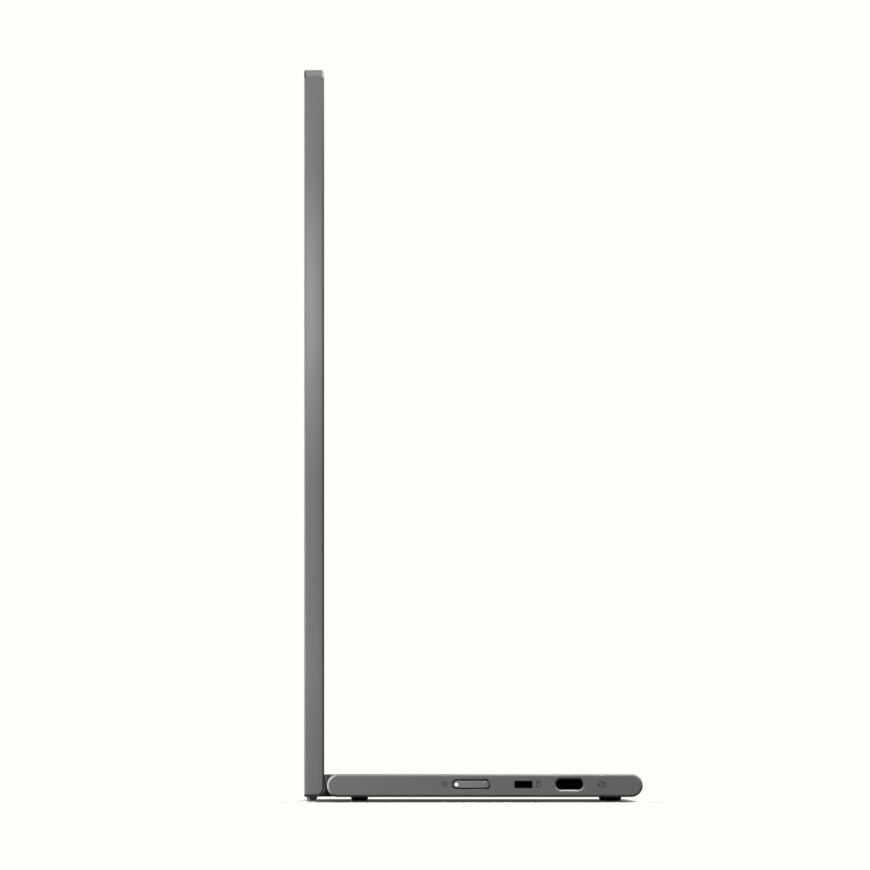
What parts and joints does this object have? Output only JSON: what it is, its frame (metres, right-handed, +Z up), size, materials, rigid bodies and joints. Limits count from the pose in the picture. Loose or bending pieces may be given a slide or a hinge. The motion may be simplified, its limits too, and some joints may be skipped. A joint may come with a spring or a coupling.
{
  "type": "portable monitor",
  "caption": "Thin portable display slab standing upright on a flat folding base plate, joined by a barrel friction hinge, with a power key, lock slot and ports in the base's sides.",
  "frame": {"origin": "on the table, below the middle of the whole part's box", "axes": "+Z up, +X towards the side with the power button, -Y the way the screen faces, +Y the way the base runs back"},
  "size_m": [0.357, 0.1128, 0.2437],
  "materials": {
    "shell": "anodised grey, finely bead-blasted",
    "bottom_plate": "anodised grey, finely bead-blasted",
    "hinge_plastic": "dark, fine matte grain",
    "bezel_plastic": "black, fine matte grain",
    "screen_glass": "anti-glare black when off",
    "foot_rubber": "black, matte",
    "chin_foot_plastic": "dark grey, half gloss",
    "steel": "plain steel",
    "screw_steel": "blackened steel",
    "port_steel": "dark plated steel",
    "port_plastic": "black",
    "bronze": "bronze, greased",
    "panel_metal": "bare sheet",
    "panel_plastic": "white and clear plastic sheets",
    "foam": "black foam tape",
    "circuit_board": "green solder mask",
    "chip_black": "black moulded packages",
    "connector_plastic": "ivory plastic",
    "flex_film": "amber film",
    "cable_jacket": "black tape over fine wires",
    "light_pipe": "clear white"
  },
  "bodies": {
    "base": {"base_top_shell": "shell", "base_bottom_plate": "bottom_plate", "front_feet": "foot_rubber", "rear_feet": "foot_rubber", "base_hinge_bracket_left": "steel", "base_hinge_bracket_right": "steel", "hinge_pin_left": "steel", "hinge_pin_right": "steel", "pin_retaining_rings": "steel", "lock_plate": "steel", "weight_plate": "steel", "shield_can": "steel", "base_screws": "screw_steel", "base_bracket_screws": "screw_steel", "board_screws": "screw_steel", "usb_c_receptacle_right": "port_steel", "usb_c_receptacle_left": "port_steel", "usb_c_tongues": "port_plastic", "main_board": "circuit_board", "side_board": "circuit_board", "board_chips": "chip_black", "power_switch": "chip_black", "menu_switches": "chip_black", "cable_socket": "connector_plastic", "board_link_cable": "flex_film", "base_cable": "cable_jacket"},
    "display": {"display_back_cover": "shell", "display_bezel": "bezel_plastic", "bezel_tape": "foam", "lcd_panel": "screen_glass", "optical_films": "panel_plastic", "light_guide_plate": "panel_plastic", "reflector_sheet": "panel_plastic", "panel_frame": "panel_plastic", "panel_back_plate": "panel_metal", "backlight_led_bar": "circuit_board", "panel_driver_board": "circuit_board", "panel_board_chips": "chip_black", "panel_flexes": "flex_film", "panel_connector": "connector_plastic", "panel_foam_strips": "foam", "display_hinge_bracket_left": "steel", "display_hinge_bracket_right": "steel", "friction_sleeve_left": "bronze", "friction_sleeve_right": "bronze", "hinge_cover_upper": "hinge_plastic", "hinge_cover_lower": "hinge_plastic", "hinge_bracket_screws": "screw_steel", "hinge_cover_screws": "screw_steel", "hinge_cover_fixing_screws": "screw_steel", "display_cable": "cable_jacket", "chin_feet": "chin_foot_plastic"},
    "power_key": {"power_button": "shell", "power_led_lens": "light_pipe"},
    "menu_key": {"menu_rocker": "shell"}
  },
  "joints": [
    {"name": "display_tilt", "type": "hinge", "parent": "base", "child": "display", "pos_m": [0, -0.0451, 0.00515], "axis": [-1, 0, 0], "range_deg": [0, 90]},
    {"name": "power_press", "type": "slide", "parent": "base", "child": "power_key", "axis": [-1, 0, 0], "range_m": [0, 0.0004], "stiffness_N_per_m": 3000, "springref_m": -0.0001},
    {"name": "menu_rock", "type": "hinge", "parent": "base", "child": "menu_key", "pos_m": [-0.17697, -0.00075, 0.0055], "axis": [0, 0, 1], "range_deg": [-2, 2], "stiffness_Nm_per_rad": 0.3}
  ]
}
